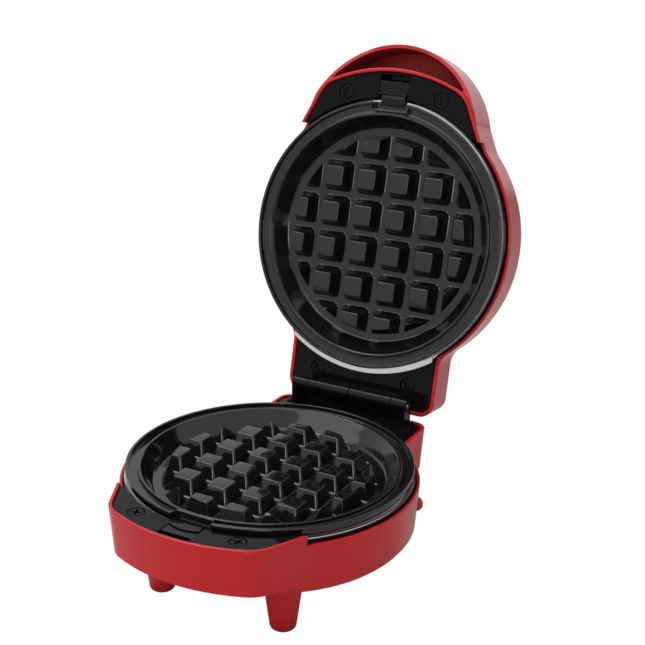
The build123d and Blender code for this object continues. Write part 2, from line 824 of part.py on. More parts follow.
def lid_lead(side):
    """Lead from an element terminal to the indicator lamp."""
    start_x = terminal_x + tube_radius + lead_radius + lead_gap
    start_z = element_z - terminal_reach + lead_height
    lamp_x = lamp_radius + lead_radius + lead_gap
    lamp_z = lid_floor_z + lens_flange + lamp_length / 2
    return lead([
        (side * start_x, terminal_y, start_z), (side * start_x, -terminal_y / 2, start_z),
        (side * lamp_x, terminal_y - lamp_y, lamp_z), (side * lamp_x, -lamp_y, lamp_z)
    ], lead_bend)


def terminal_block():
    """Two-pole block on the floor of the base, with screw wells and wire holes."""
    shape = Pos(0, block_y, hollow_floor_z + block_height / 2) * Box(block_width, block_depth, block_height)
    for side in (-1, 1):
        x = side * block_pole_x
        shape -= drill(x, block_y, hollow_floor_z + block_height, block_screw_radius, block_screw_depth)
        hole = cylinder_y(lead_radius + lead_gap, block_y - block_depth, block_y + block_depth, 0)
        shape -= Pos(x, 0, hollow_floor_z + block_height / 2) * hole
    return shape


def thermostat():
    """Disc thermostat against the pan's underside."""
    body = drill(0, thermostat_y, pan_floor_z, thermostat_radius, thermostat_height)
    return fillet(body.edges().sort_by(Axis.Z)[0], thermostat_round)


def thermal_fuse():
    """Small tubular fuse against the pan's underside."""
    body = Rot(0, 90, 0) * Cylinder(fuse_radius, fuse_length)
    body = Pos(fuse_x, fuse_y, pan_floor_z - fuse_radius) * body
    return fillet(body.edges(), fuse_round)


def cord_gland():
    """Bush for a cord in the rear wall: sleeve, outer flange and the lip that it snaps in by."""
    outside_y = rear_y - (lip_z - inlet_z) * tan(radians(wall_draft))
    inside_y = outside_y - rear_wall
    start_y = inside_y - gland_wall_gap - gland_lip
    end_y = outside_y + gland_wall_gap + gland_tail
    shape = cylinder_y(gland_radius, start_y, end_y, inlet_z)
    shape = fillet(shape.edges().sort_by(Axis.Y)[-1], gland_round)
    flange_y = outside_y + gland_wall_gap
    shape += cylinder_y(gland_radius + gland_flange_reach, flange_y, flange_y + gland_flange, inlet_z)
    shape += cylinder_y(gland_radius + gland_lip_reach, start_y, start_y + gland_lip, inlet_z)
    return shape - cylinder_y(inlet_bore_radius, start_y - 1, end_y + 1, inlet_z)


def indicator_lens():
    """Clear lens pushed up through the lid's top from inside."""
    top = lid_floor_z + lens_flange
    low = lid_top_z - lens_sink
    shape = drill(0, -lamp_y, top, lens_radius, top - low)
    shape = fillet(shape.edges().sort_by(Axis.Z)[0], lens_round)
    return shape + drill(0, -lamp_y, top, lens_radius + lens_flange_reach, lens_flange)


def indicator_lamp():
    """Neon lamp standing on the lens."""
    top = lid_floor_z + lens_flange + lamp_length
    shape = drill(0, -lamp_y, top, lamp_radius, lamp_length)
    return fillet(shape.edges().sort_by(Axis.Z)[-1], lamp_round)


def lid_place(shape):
    """Mirrors a piece drawn as a base into the lid and swings it open round the hinge."""
    flipped = mirror(shape, about=Plane.XY.offset(hinge_z))
    return flipped.rotate(Axis((0, hinge_y, hinge_z), (1, 0, 0)), -open_angle)


def both_sides(shape):
    """A right-hand piece with its mirror image."""
    return shape + mirror(shape, about=Plane.YZ)


pieces = {}
pieces["base_shell"] = base_shell()
pieces["base_cover"] = cover() + both_sides(outer_knuckle()) + hinge_bridge()
pieces["base_reflector"] = pan()
pieces["lower_plate"] = plate()
pieces["base_latch"] = clip()
pieces["base_latch_spring"] = clip_spring()
pieces["lower_element"] = element()
pieces["thermostat"] = thermostat()
pieces["thermal_fuse"] = thermal_fuse()
pieces["terminal_block"] = terminal_block()
pieces["cord_gland"] = cord_gland()

pieces["lid_shell"] = lid_place(lid_shell())
pieces["lid_cover"] = lid_place(cover() + both_sides(inner_knuckle()))
pieces["lid_reflector"] = lid_place(pieces["base_reflector"])
pieces["upper_plate"] = lid_place(pieces["lower_plate"])
pieces["lid_latch"] = lid_place(pieces["base_latch"])
pieces["lid_latch_spring"] = lid_place(pieces["base_latch_spring"])
pieces["upper_element"] = lid_place(pieces["lower_element"])
pieces["indicator_lens"] = lid_place(indicator_lens())
pieces["indicator_lamp"] = lid_place(indicator_lamp())

for x, y, deck_z in screw_places():
    place = ("front" if y < 0 else "rear") + ("_left" if x < 0 else "_right")
    placed = Pos(x, y, deck_z - head_sink) * screw(shank_length)
    pieces["base_screw_" + place] = placed
    pieces["lid_screw_" + place] = lid_place(placed)

for side, label in ((-1, "left"), (1, "right")):
    pin = barrel(pin_start_x, pin_end_x, pin_radius)
    pieces["hinge_pin_" + label] = pin if side > 0 else mirror(pin, about=Plane.YZ)
    for y, end in ((-leg_front_y, "front"), (leg_rear_y, "rear")):
        pad = drill(side * leg_x, y, pad_height, pad_radius, pad_height)
        pieces["foot_pad_" + end + "_" + label] = fillet(pad.edges().sort_by(Axis.Z)[0], pad_round)
    pan_screw = Pos(side * pan_screw_x, 0, pan_floor_z + pan_sheet + head_height) * screw(pan_screw_length)
    pieces["base_pan_screw_" + label] = pan_screw
    pieces["lid_pan_screw_" + label] = lid_place(pan_screw)
    pieces["element_lead_" + label] = element_lead(side)
    pieces["lid_lead_" + label] = lid_place(lid_lead(side))

# Everything moves back or forward together, so that the part's middle lies over the origin
boxes = [shape.bounding_box() for shape in pieces.values()]
low_y = min(box.min.Y for box in boxes)
high_y = max(box.max.Y for box in boxes)
shift = -(low_y + high_y) / 2
print("shift_y", round(shift, 4), "depth", round(high_y - low_y, 3))
for name, shape in pieces.items():
    export_step(Pos(0, shift, 0) * shape, "parts/" + name + ".step")
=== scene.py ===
import json
import math
import bmesh
import bpy
from mathutils import Matrix, Vector


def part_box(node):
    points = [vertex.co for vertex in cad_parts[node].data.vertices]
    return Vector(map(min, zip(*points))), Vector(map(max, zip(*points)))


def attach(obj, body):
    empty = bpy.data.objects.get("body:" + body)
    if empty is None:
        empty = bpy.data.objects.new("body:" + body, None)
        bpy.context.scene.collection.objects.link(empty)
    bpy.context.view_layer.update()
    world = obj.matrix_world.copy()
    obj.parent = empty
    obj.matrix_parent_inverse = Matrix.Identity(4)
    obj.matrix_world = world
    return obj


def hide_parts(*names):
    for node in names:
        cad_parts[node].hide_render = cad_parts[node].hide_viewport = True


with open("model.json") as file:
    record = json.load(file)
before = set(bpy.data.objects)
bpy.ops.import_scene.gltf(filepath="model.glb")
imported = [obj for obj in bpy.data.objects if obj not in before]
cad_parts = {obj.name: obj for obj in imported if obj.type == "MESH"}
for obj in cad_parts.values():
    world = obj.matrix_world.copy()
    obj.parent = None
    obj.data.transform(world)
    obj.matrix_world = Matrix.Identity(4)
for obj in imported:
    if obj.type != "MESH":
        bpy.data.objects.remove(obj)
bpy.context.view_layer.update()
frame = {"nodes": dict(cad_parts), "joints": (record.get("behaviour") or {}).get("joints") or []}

# Worktop, backdrop and light: a pale room with a broad soft light from the upper left front, a small one
# overhead and a smaller one from the right that draws the edges. The worktop shows white to the camera
# and keeps a trace of the shadow.
worktop_size = 6.0
worktop_drop = 0.0002
worktop_white = 0.96
worktop_grey = 0.62
worktop_glow = 1.03
room_light = 0.5
room_shine = 0.85
light_target = (0, 0, 0.08)


def plain_plane(name, size, z):
    mesh = bpy.data.meshes.new(name)
    half = size / 2
    corners = [(-half, -half, z), (half, -half, z), (half, half, z), (-half, half, z)]
    mesh.from_pydata(corners, [], [(0, 1, 2, 3)])
    thing = bpy.data.objects.new(name, mesh)
    bpy.context.scene.collection.objects.link(thing)
    return thing


def empty_material(name):
    """New material with only an output and the tree to build on."""
    material = bpy.data.materials.new(name)
    material.use_nodes = True
    tree = material.node_tree
    tree.nodes.clear()
    output = tree.nodes.new("ShaderNodeOutputMaterial")
    return material, tree, output


worktop = plain_plane("worktop", worktop_size, -worktop_drop)
worktop_material, tree, output = empty_material("pale_worktop")
matt = tree.nodes.new("ShaderNodeBsdfDiffuse")
matt.inputs["Color"].default_value = (worktop_grey, worktop_grey, worktop_grey, 1)
glow = tree.nodes.new("ShaderNodeEmission")
glow.inputs["Color"].default_value = (1, 1, 1, 1)
glow.inputs["Strength"].default_value = worktop_glow
seen = tree.nodes.new("ShaderNodeLightPath")
share = tree.nodes.new("ShaderNodeMath")
share.operation = "MULTIPLY"
share.inputs[1].default_value = worktop_white
tree.links.new(seen.outputs["Is Camera Ray"], share.inputs[0])
blend = tree.nodes.new("ShaderNodeMixShader")
tree.links.new(share.outputs[0], blend.inputs[0])
tree.links.new(matt.outputs[0], blend.inputs[1])
tree.links.new(glow.outputs[0], blend.inputs[2])
tree.links.new(blend.outputs[0], output.inputs["Surface"])
worktop.data.materials.append(worktop_material)

room = bpy.data.worlds.new("room")
bpy.context.scene.world = room
room.use_nodes = True
tree = room.node_tree
tree.nodes.clear()
output = tree.nodes.new("ShaderNodeOutputWorld")
light_level = tree.nodes.new("ShaderNodeBackground")
light_level.inputs["Strength"].default_value = room_light
white_level = tree.nodes.new("ShaderNodeBackground")
white_level.inputs["Strength"].default_value = 1.0
shine_level = tree.nodes.new("ShaderNodeBackground")
shine_level.inputs["Strength"].default_value = room_shine
for level in (light_level, white_level, shine_level):
    level.inputs["Color"].default_value = (1, 1, 1, 1)
seen = tree.nodes.new("ShaderNodeLightPath")
shine_mix = tree.nodes.new("ShaderNodeMixShader")
tree.links.new(seen.outputs["Is Glossy Ray"], shine_mix.inputs[0])
tree.links.new(light_level.outputs[0], shine_mix.inputs[1])
tree.links.new(shine_level.outputs[0], shine_mix.inputs[2])
camera_mix = tree.nodes.new("ShaderNodeMixShader")
tree.links.new(seen.outputs["Is Camera Ray"], camera_mix.inputs[0])
tree.links.new(shine_mix.outputs[0], camera_mix.inputs[1])
tree.links.new(white_level.outputs[0], camera_mix.inputs[2])
tree.links.new(camera_mix.outputs[0], output.inputs["Surface"])


def soft_light(name, place, size, power):
    """Square studio light at a place, facing the object."""
    lamp = bpy.data.lights.new(name, "AREA")
    lamp.shape = "SQUARE"
    lamp.size = size
    lamp.energy = power
    thing = bpy.data.objects.new(name, lamp)
    bpy.context.scene.collection.objects.link(thing)
    thing.location = place
    thing.rotation_euler = (Vector(light_target) - Vector(place)).to_track_quat("-Z", "Y").to_euler()


soft_light("key_light", (-0.55, -0.75, 1.3), size=1.8, power=13.2)
soft_light("top_light", (-0.52, 0.13, 1.2), size=0.5, power=4.2)
soft_light("edge_light", (0.5, -1.1, 0.42), size=0.25, power=1.6)

# Camera at the photograph's angle: its distance from the hinge and its focal length come from the two
# plates' regular peg grids, solved once; the frame is shifted because the object stood off the axis.
hinge = next(Vector(joint["pos_m"]) for joint in frame["joints"] if joint["name"] == "lid_hinge")
camera_from_hinge = Vector((0.2499, -0.4916, 0.2353))
camera_place = hinge + camera_from_hinge
camera_azimuth = math.radians(30.865)
camera_elevation = math.radians(21.875)
camera_roll = math.radians(-0.205)
focal_pixels = 1332.74
image_side = 645
axis_pixel = (266.121, 363.865)

camera_data = bpy.data.cameras.new("camera")
camera_data.sensor_width = 36.0
camera_data.lens = focal_pixels * camera_data.sensor_width / image_side
camera_data.shift_x = 0.5 - axis_pixel[0] / image_side
camera_data.shift_y = axis_pixel[1] / image_side - 0.5
camera_data.clip_start = 0.02
camera = bpy.data.objects.new("camera", camera_data)
bpy.context.scene.collection.objects.link(camera)
back = Vector((
    math.sin(camera_azimuth) * math.cos(camera_elevation),
    -math.cos(camera_azimuth) * math.cos(camera_elevation),
    math.sin(camera_elevation),
))
level = (-back).cross(Vector((0, 0, 1))).normalized()
rise = level.cross(-back)
right = level * math.cos(camera_roll) + rise * math.sin(camera_roll)
up = rise * math.cos(camera_roll) - level * math.sin(camera_roll)
camera.matrix_world = Matrix((
    (right.x, up.x, back.x, camera_place.x),
    (right.y, up.y, back.y, camera_place.y),
    (right.z, up.z, back.z, camera_place.z),
    (0, 0, 0, 1),
))
bpy.context.scene.camera = camera
bpy.context.scene.view_settings.view_transform = "Standard"

# Base shell: one red moulding with round body, raised front lobe, rear lobe and four tapered legs.
# It is glossy plastic out of a polished mould, its sharp edges broken by a hair's breadth and its narrow
# hollows duller;
# their colour is darkened there as painted shade.
shell_colour = (0.52, 0.006, 0.008)
shell_gloss = 0.14
shell_edge = 0.00025


recess_shadow = 0.4
recess_gloss = 0.75
recess_deep = 0.25
recess_open = 0.75


def finish(
    name, colour, gloss, edge=0.0, unevenness=0.06, patch=90.0, grain=2600.0, relief=0.00001, shade_and_dull_reach=0.0,
):
    """Plastic or metal with faint patches in colour and gloss, a fine grain and softly broken edges.

    The edge is the radius of the broken edges; the hollows' reach is the distance over which narrow hollows
    turn duller and take painted shade, their colour darkened.
    """
    material, tree, output = empty_material(name)
    shader = tree.nodes.new("ShaderNodeBsdfPrincipled")
    place = tree.nodes.new("ShaderNodeTexCoord")
    patches = tree.nodes.new("ShaderNodeTexNoise")
    patches.inputs["Scale"].default_value = patch
    patches.inputs["Detail"].default_value = 3
    tree.links.new(place.outputs["Object"], patches.inputs["Vector"])
    tint = tree.nodes.new("ShaderNodeMix")
    tint.data_type = "RGBA"
    tint.inputs["A"].default_value = (*(part * (1 - unevenness) for part in colour), 1)
    tint.inputs["B"].default_value = (*(part * (1 + unevenness) for part in colour), 1)
    tree.links.new(patches.outputs["Fac"], tint.inputs["Factor"])
    shine = tree.nodes.new("ShaderNodeMapRange")
    shine.inputs["To Min"].default_value = gloss * (1 - unevenness)
    shine.inputs["To Max"].default_value = gloss * (1 + unevenness)
    tree.links.new(patches.outputs["Fac"], shine.inputs["Value"])
    if shade_and_dull_reach:
        shaded = tree.nodes.new("ShaderNodeAmbientOcclusion")
        shaded.samples = 8
        shaded.inputs["Distance"].default_value = shade_and_dull_reach
        depth = tree.nodes.new("ShaderNodeMapRange")
        depth.inputs["From Min"].default_value = recess_deep
        depth.inputs["From Max"].default_value = recess_open
        tree.links.new(shaded.outputs["AO"], depth.inputs["Value"])
        # Painted shade: where ambient occlusion finds a narrow hollow, the colour is darkened towards
        # recess_shadow; the duller gloss there is real.
        painted_shade_mix = tree.nodes.new("ShaderNodeMix")
        painted_shade_mix.data_type = "RGBA"
        painted_shade_mix.inputs["A"].default_value = (*(part * recess_shadow for part in colour), 1)
        tree.links.new(depth.outputs["Result"], painted_shade_mix.inputs["Factor"])
        tree.links.new(tint.outputs["Result"], painted_shade_mix.inputs["B"])
        tree.links.new(painted_shade_mix.outputs["Result"], shader.inputs["Base Color"])
        duller = tree.nodes.new("ShaderNodeMix")
        duller.data_type = "FLOAT"
        duller.inputs["A"].default_value = recess_gloss
        tree.links.new(depth.outputs["Result"], duller.inputs["Factor"])
        tree.links.new(shine.outputs["Result"], duller.inputs["B"])
        tree.links.new(duller.outputs["Result"], shader.inputs["Roughness"])
    else:
        tree.links.new(tint.outputs["Result"], shader.inputs["Base Color"])
        tree.links.new(shine.outputs["Result"], shader.inputs["Roughness"])
    fine = tree.nodes.new("ShaderNodeTexNoise")
    fine.inputs["Scale"].default_value = grain
    fine.inputs["Detail"].default_value = 2
    tree.links.new(place.outputs["Object"], fine.inputs["Vector"])
    bumps = tree.nodes.new("ShaderNodeBump")
    bumps.inputs["Strength"].default_value = 0.3
    bumps.inputs["Distance"].default_value = relief
    tree.links.new(fine.outputs["Fac"], bumps.inputs["Height"])
    if edge:
        broken = tree.nodes.new("ShaderNodeBevel")
        broken.samples = 6
        broken.inputs["Radius"].default_value = edge
        tree.links.new(broken.outputs["Normal"], bumps.inputs["Normal"])
    tree.links.new(bumps.outputs["Normal"], shader.inputs["Normal"])
    tree.links.new(shader.outputs[0], output.inputs["Surface"])
    return material, shader


def dress(node, material):
    """Gives a CAD piece, kept as it is, its finish."""
    thing = frame["nodes"][node]
    thing.data.materials.clear()
    thing.data.materials.append(material)


# Reach of the painted shade and of the duller gloss in the shell's narrow hollows.
shell_shade_and_dull_reach = 0.016
shell_red, shader = finish("shell_red", shell_colour, shell_gloss, shell_edge, shade_and_dull_reach=shell_shade_and_dull_reach)
shader.inputs["IOR"].default_value = 1.4
dress("base_shell", shell_red)

# Foot pads: four soft black discs under the legs, moulded in rubber with a dull face.
# Each is pressed into the pocket at the end of its leg.
pad_rubber, shader = finish("pad_rubber", (0.025, 0.025, 0.025), 0.75, grain=1500.0, relief=0.00004)
for end in ("front", "rear"):
    for side in ("left", "right"):
        dress("foot_pad_" + end + "_" + side, pad_rubber)

# Cord bush: a black sleeve in the rear wall, moulded in plastic a little duller than the covers.
# It snaps into its hole.
gland_black, shader = finish("gland_black", (0.02, 0.02, 0.02), 0.45, 0.0002)
dress("cord_gland", gland_black)

# Parts inside the base, fixed to its floor or pressed against the pan: a white moulded terminal block,
# a plain metal thermostat, a fuse in a white sleeve and leads in white insulation.
block_white, shader = finish("block_white", (0.7, 0.7, 0.67), 0.4, 0.0002)
dress("terminal_block", block_white)
thermostat_metal, shader = finish("thermostat_metal", (0.6, 0.6, 0.6), 0.35, unevenness=0.12)
shader.inputs["Metallic"].default_value = 1.0
dress("thermostat", thermostat_metal)
fuse_white, shader = finish("fuse_white", (0.75, 0.75, 0.71), 0.6)
dress("thermal_fuse", fuse_white)
lead_white, shader = finish("lead_white", (0.74, 0.73, 0.69), 0.5)
for side in ("left", "right"):
    dress("element_lead_" + side, lead_white)
    dress("lid_lead_" + side, lead_white)

# Heating elements: an open ring of steel tube under each plate, dulled and slightly browned by heat.
# Each lies between its pan and its plate.
element_steel, shader = finish("element_steel", (0.36, 0.33, 0.3), 0.38, unevenness=0.2, patch=160.0)
shader.inputs["Metallic"].default_value = 1.0
dress("lower_element", element_steel)
dress("upper_element", element_steel)

# Covers: charcoal mouldings that close the gap between plate and shell, with a raised front deck, screw
# seats, the clip's window and the hinge's knuckles. Their decks are smooth enough to mirror the lid.
cover_charcoal, shader = finish("cover_charcoal", (0.0045, 0.0042, 0.004), 0.045, 0.0002, unevenness=0.03)
shader.inputs["IOR"].default_value = 1.2
dress("base_cover", cover_charcoal)
dress("lid_cover", cover_charcoal)

# Cover screws: four cross-head screws of black-coated steel in each half, driven into the shell's posts.
# The crosses of their heads end up turned at random.
screw_turn_seed = 7
screw_x = 22.7
screw_front_y = -61.0
screw_front_z = 47.4
screw_rear_y = 64.2
screw_rear_z = 42.7
screw_sink = 0.1
screw_places = [
    (side * screw_x, y, z)
    for y, z in ((screw_front_y, screw_front_z), (screw_rear_y, screw_rear_z)) for side in (-1, 1)
]
screw_turn = math.pi / 2
mm = 0.001
plate_low, plate_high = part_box("lower_plate")
axis_y = (plate_low[1] + plate_high[1]) / 2
rim_top_z = plate_high[2]
open_angle = math.radians(103)
lid_swing = (
    Matrix.Translation(hinge) @ Matrix.Rotation(-open_angle, 4, "X") @ Matrix.Scale(-1, 4, (0, 0, 1))
    @ Matrix.Translation(-hinge)
)


def joined_skin(node, name):
    """Own mesh of a CAD piece with its loose triangles joined."""
    shape = bmesh.new()
    shape.from_mesh(frame["nodes"][node].data)
    bmesh.ops.remove_doubles(shape, verts=shape.verts, dist=0.000002)
    mesh = bpy.data.meshes.new(name)
    points = [vert.co.copy() for vert in shape.verts]
    mesh.from_pydata(points, [], [[vert.index for vert in face.verts] for face in shape.faces])
    shape.free()
    return mesh


def smooth(mesh, crease):
    """Smooth shading up to a crease angle in degrees."""
    for face in mesh.polygons:
        face.use_smooth = True
    mesh.set_sharp_from_angle(angle=math.radians(crease))


def placed(name, mesh):
    """New object for a mesh."""
    thing = bpy.data.objects.new(name, mesh)
    bpy.context.scene.collection.objects.link(thing)
    return thing


def in_lid(name, mesh):
    """Copy of a base piece's mesh mirrored into the lid and swung open with it."""
    copy = mesh.copy()
    copy.name = name
    copy.transform(lid_swing)
    copy.flip_normals()
    return copy


def sized_input(tree, name, kind, value=None):
    """Named input of a Geometry Nodes tree with its starting value."""
    socket = tree.interface.new_socket(name=name, in_out="INPUT", socket_type=kind)
    if value is not None:
        socket.default_value = value
    return socket.identifier


def grown(name, host, tree, values):
    """Plain mesh of what a Geometry Nodes tree makes on a host object."""
    modifier = host.modifiers.new("grow", "NODES")
    modifier.node_group = tree
    for identifier, value in values.items():
        modifier[identifier] = value
    host.update_tag()
    graph = bpy.context.evaluated_depsgraph_get()
    mesh = bpy.data.meshes.new_from_object(host.evaluated_get(graph), depsgraph=graph)
    mesh.name = name
    host.modifiers.remove(modifier)
    return mesh


screw_black, shader = finish(
    "screw_black", (0.006, 0.006, 0.0062), 0.12, 0.00012, unevenness=0.12, patch=700.0,
)
shader.inputs["IOR"].default_value = 1.2

pattern_mesh = joined_skin("base_screw_front_left", "screw_pattern")
low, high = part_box("base_screw_front_left")
pattern_mesh.transform(Matrix.Translation((-(low[0] + high[0]) / 2, -(low[1] + high[1]) / 2, -high[2])))
screw_pattern = placed("screw_pattern", pattern_mesh)
marks_mesh = bpy.data.meshes.new("screw_marks")
marks = [(x * mm, y * mm + axis_y, (z - screw_sink) * mm) for x, y, z in screw_places]
marks_mesh.from_pydata(marks, [], [])
screw_marks = placed("screw_marks", marks_mesh)

tree = bpy.data.node_groups.new("screw_rows", "GeometryNodeTree")
sized_input(tree, "Geometry", "NodeSocketGeometry")
screw_input = sized_input(tree, "Screw", "NodeSocketObject")
turn_input = sized_input(tree, "Greatest turn", "NodeSocketFloat", 0.0)
seed_input = sized_input(tree, "Seed", "NodeSocketInt", 0)
finish_input = sized_input(tree, "Finish", "NodeSocketMaterial")
tree.interface.new_socket(name="Geometry", in_out="OUTPUT", socket_type="NodeSocketGeometry")
given = tree.nodes.new("NodeGroupInput")
result = tree.nodes.new("NodeGroupOutput")
pattern = tree.nodes.new("GeometryNodeObjectInfo")
turns = tree.nodes.new("FunctionNodeRandomValue")
turns.data_type = "FLOAT"
turn_vector = tree.nodes.new("ShaderNodeCombineXYZ")
copies = tree.nodes.new("GeometryNodeInstanceOnPoints")
real = tree.nodes.new("GeometryNodeRealizeInstances")
painted = tree.nodes.new("GeometryNodeSetMaterial")
tree.links.new(given.outputs["Screw"], pattern.inputs["Object"])
tree.links.new(given.outputs["Geometry"], copies.inputs["Points"])
tree.links.new(pattern.outputs["Geometry"], copies.inputs["Instance"])
tree.links.new(given.outputs["Greatest turn"], turns.inputs[3])
tree.links.new(given.outputs["Seed"], turns.inputs["Seed"])
tree.links.new(turns.outputs[1], turn_vector.inputs["Z"])
tree.links.new(turn_vector.outputs[0], copies.inputs["Rotation"])
tree.links.new(copies.outputs[0], real.inputs[0])
tree.links.new(real.outputs[0], painted.inputs["Geometry"])
tree.links.new(given.outputs["Finish"], painted.inputs["Material"])
tree.links.new(painted.outputs[0], result.inputs[0])

screws_mesh = grown("base_screws", screw_marks, tree, {
    screw_input: screw_pattern, turn_input: screw_turn, seed_input: screw_turn_seed,
    finish_input: screw_black,
})
for thing in (screw_pattern, screw_marks):
    bpy.data.objects.remove(thing)
smooth(screws_mesh, 30)
for body, mesh in (("base", screws_mesh), ("lid", in_lid("lid_screws", screws_mesh))):
    screws = placed(body + "_screws", mesh)
    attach(screws, body)
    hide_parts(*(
        body + "_screw_" + end + "_" + side for end in ("front", "rear") for side in ("left", "right")
    ))

# Pans: bright sheet pressed into a dish under each plate, with a raised wider flange towards the hinge.
# The edge round the rest is rolled in close to the plate's rim, and two steel screws hold each pan.
pan_edge = 59.25
pan_flange_half_angle = 35.5
pan_bright, shader = finish("pan_bright", (0.6, 0.6, 0.595), 0.1, unevenness=0.06, patch=60.0)
shader.inputs["Metallic"].default_value = 1.0
pan_mesh = joined_skin("base_reflector", "base_pan")
for vert in pan_mesh.vertices:
    x = vert.co.x
    y = vert.co.y - axis_y
    radius = math.hypot(x, y)
    if radius > pan_edge * mm and math.degrees(abs(math.atan2(x, y))) > pan_flange_half_angle:
        vert.co.x = x * pan_edge * mm / radius
        vert.co.y = axis_y + y * pan_edge * mm / radius
smooth(pan_mesh, 35)
for node, body, mesh in (
    ("base_reflector", "base", pan_mesh), ("lid_reflector", "lid", in_lid("lid_pan", pan_mesh)),
):
    mesh.materials.append(pan_bright)
    pan = placed(node + "_sheet", mesh)
    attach(pan, body)
    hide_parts(node)
pan_screw_steel, shader = finish("pan_screw_steel", (0.55, 0.55, 0.53), 0.3, 0.0001)
shader.inputs["Metallic"].default_value = 1.0
for side in ("left", "right"):
    dress("base_pan_screw_" + side, pan_screw_steel)
    dress("lid_pan_screw_" + side, pan_screw_steel)

# Waffle plates: cast aluminium under a black non-stick coat. Each has a thin rim behind a groove, a flat
# band, a sloping dish and pegs on a square pitch; a notch at the front takes the release clip's nose.
plate_radius = 58.8
rim_height = 4.1
rim_inside = 57.5
ridge_outside = 53.7
notch_half = 9.0
notch_rim = 54.9
notch_rim_width = 0.8
notch_blend = 0.25
ledge_drop = 3.1
plate_steps = 240
plate_crease = 50
plate_profile = [
    (0.0, -10.6), (47.0, -10.6), (54.2, -3.7), (56.8, -3.7), (56.8, -4.1), (58.6, -4.1), (58.8, -3.9),
    (58.8, -0.35), (58.78, -0.22), (58.72, -0.11), (58.62, -0.03), (58.5, 0.0), (57.72, 0.0), (57.6, -0.04),
    (57.53, -0.12), (57.5, -0.25), (57.5, -1.95), (57.4, -2.1), (57.2, -2.15), (54.0, -2.15), (53.8, -2.1),
    (53.7, -1.95), (53.7, -0.72), (53.66, -0.58), (53.56, -0.5), (53.42, -0.47), (52.86, -0.47),
    (52.72, -0.5), (52.6, -0.58), (52.48, -0.72), (52.25, -1.08), (51.4, -2.53), (50.4, -4.23),
    (49.4, -5.93), (48.4, -7.5), (48.0, -8.0), (47.6, -8.33), (47.2, -8.52), (46.7, -8.6),
    (45.2, -8.6), (30.0, -8.6), (0.0, -8.6),
]


def plate_angles():
    """Angles round the plate in radians from the front, closer together at the notch's ends."""
    angles = [2 * math.pi / plate_steps * k for k in range(plate_steps)]
    for offset in (-0.6, -0.4, -0.25, -0.13, 0, 0.13, 0.25, 0.4, 0.6):
        angle = math.asin((notch_half + offset) / plate_radius)
        angles += [angle, 2 * math.pi - angle]
    return sorted(angles)


def notched(radius, angle):
    """Radius of a ring at an angle, drawn in where the notch is."""
    across = plate_radius * math.sin(angle)
    if math.cos(angle) < 0 or radius <= ridge_outside:
        return radius
    share = min(1.0, max(0.0, (notch_half + notch_blend - abs(across)) / (2 * notch_blend)))
    share = share * share * (3 - 2 * share)
    outer = notch_rim / math.cos(angle)
    inner = outer - notch_rim_width
    if radius > rim_inside:
        moved = inner + (radius - rim_inside) / (plate_radius - rim_inside) * notch_rim_width
    else:
        along = (radius - ridge_outside) / (rim_inside - ridge_outside)
        moved = ridge_outside + along * (inner - ridge_outside)
    return radius + (moved - radius) * share


def plate_casting():
    """Rim, band, dish and underside of a plate, in metres round the base's plate axis."""
    shape = bmesh.new()
    angles = plate_angles()
    rings = []
    for radius, drop in plate_profile:
        z = rim_top_z + drop * mm
        if radius == 0:
            rings.append([shape.verts.new((0, axis_y, z))])
            continue
        ring = []
        for angle in angles:
            r = notched(radius, angle) * mm
            ring.append(shape.verts.new((r * math.sin(angle), axis_y - r * math.cos(angle), z)))
        rings.append(ring)
    for one, two in zip(rings, rings[1:]):
        for k in range(len(angles)):
            j = (k + 1) % len(angles)
            if len(one) == 1:
                shape.faces.new((one[0], two[k], two[j]))
            elif len(two) == 1:
                shape.faces.new((one[k], two[0], one[j]))
            else:
                shape.faces.new((one[k], one[j], two[j], two[k]))
    ledge_start = notch_rim - notch_rim_width / 2
    ledge_end = math.sqrt(plate_radius ** 2 - notch_half ** 2)
    for vert in bmesh.ops.create_cube(shape, size=1.0)["verts"]:
        vert.co.x *= 2 * (notch_half - notch_blend) * mm
        vert.co.y = axis_y - (ledge_start + (ledge_end - ledge_start) * (0.5 - vert.co.y)) * mm
        vert.co.z = rim_top_z - (ledge_drop + (rim_height - ledge_drop) * (0.5 - vert.co.z)) * mm
    bmesh.ops.recalc_face_normals(shape, faces=shape.faces)
    for edge in shape.edges:
        edge.smooth = edge.calc_face_angle(0) < math.radians(plate_crease)
    return shape


peg_pitch = 16.0
peg_foot = 13.2
peg_head = 8.4
peg_height = 6.5
peg_foot_round = 2.0
peg_head_round = 0.75
peg_edge = 0.27
peg_rows = 6
peg_last_reach = 3.2
peg_foot_limit = 44.0
peg_head_limit = 41.6
peg_bed = -0.9
peg_limit_steps = 160
peg_crease = 11
peg_corner_steps = 9
peg_side_inset = 0.15
peg_flare = [(0.6, 2.5, peg_bed), (0.6, 2.5, -0.3), (0.36, 2.35, 0.0), (0.12, 2.15, 0.16)]
peg_edge_turns = (12, 30, 50, 70, 90)


def peg_levels():
    """Outlines of a peg from the flare at its foot to the middle of its top: half width, corner, height."""
    slope = (peg_foot - peg_head) / 2 / peg_height
    levels = [(peg_foot / 2 + flare, corner, height) for flare, corner, height in peg_flare]
    for height in (0.4, 0.55, peg_height - peg_edge - 0.25, peg_height - peg_edge - 0.1):
        share = height / peg_height
        corner = peg_foot_round + (peg_head_round - peg_foot_round) * share
        levels.append((peg_foot / 2 - slope * height, corner, height))
    for angle in peg_edge_turns:
        turn = math.radians(angle)
        half = peg_head / 2 + slope * peg_edge * (1 - math.sin(turn)) - peg_edge * (1 - math.cos(turn))
        height = peg_height - peg_edge * (1 - math.sin(turn))
        levels.append((half, peg_head_round - peg_edge * (1 - math.cos(turn)) * 0.4, height))
    return levels


